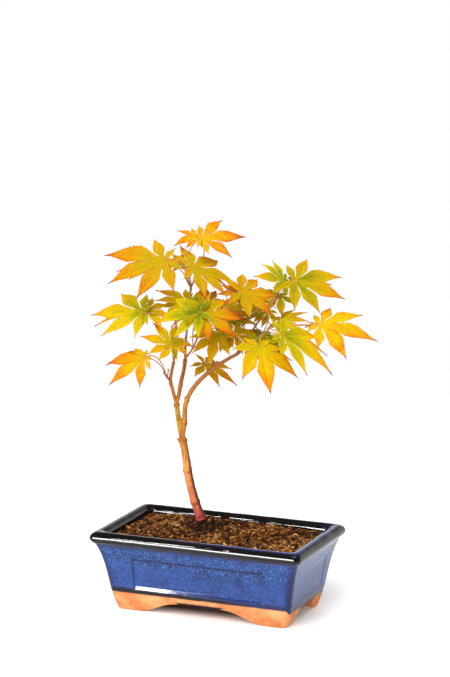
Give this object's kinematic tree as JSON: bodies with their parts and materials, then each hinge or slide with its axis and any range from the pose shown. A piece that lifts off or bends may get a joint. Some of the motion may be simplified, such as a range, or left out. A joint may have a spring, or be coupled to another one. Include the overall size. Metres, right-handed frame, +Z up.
{
  "type": "potted japanese maple bonsai",
  "caption": "Young maple grown as a bonsai: a slim leaning trunk that forks into boughs with broad palmate autumn leaves, in a long glazed pot on short feet.",
  "frame": {"origin": "on the ground, under the middle of the whole plant's outline seen from above", "axes": "+Z up along the tree, X along the pot's long side, -Y out of the pot's front"},
  "size_m": [0.2552, 0.158, 0.3408],
  "materials": {
    "blue_glaze": "glossy cobalt glaze, mottled lighter, nearly black on its edges",
    "terracotta": "unglazed orange clay, matt",
    "compost": "loose moist bark chips and coir",
    "bark": "smooth young bark, red at the foot to olive and brown above",
    "leaves": "soft satin leaves in lime, gold, amber and orange"
  },
  "bodies": {
    "root": {"pot": "blue_glaze", "pot_foot_front_left": "terracotta", "pot_foot_front_right": "terracotta", "pot_foot_back_left": "terracotta", "pot_foot_back_right": "terracotta", "soil": "compost", "trunk": "bark", "left_stem": "bark", "left_bough": "bark", "middle_bough": "bark", "right_bough": "bark", "foliage_left_low": "leaves", "foliage_left_top": "leaves", "foliage_top": "leaves", "foliage_centre": "leaves", "foliage_under": "leaves", "foliage_right_front": "leaves", "foliage_right_top": "leaves"}
  },
  "joints": []
}
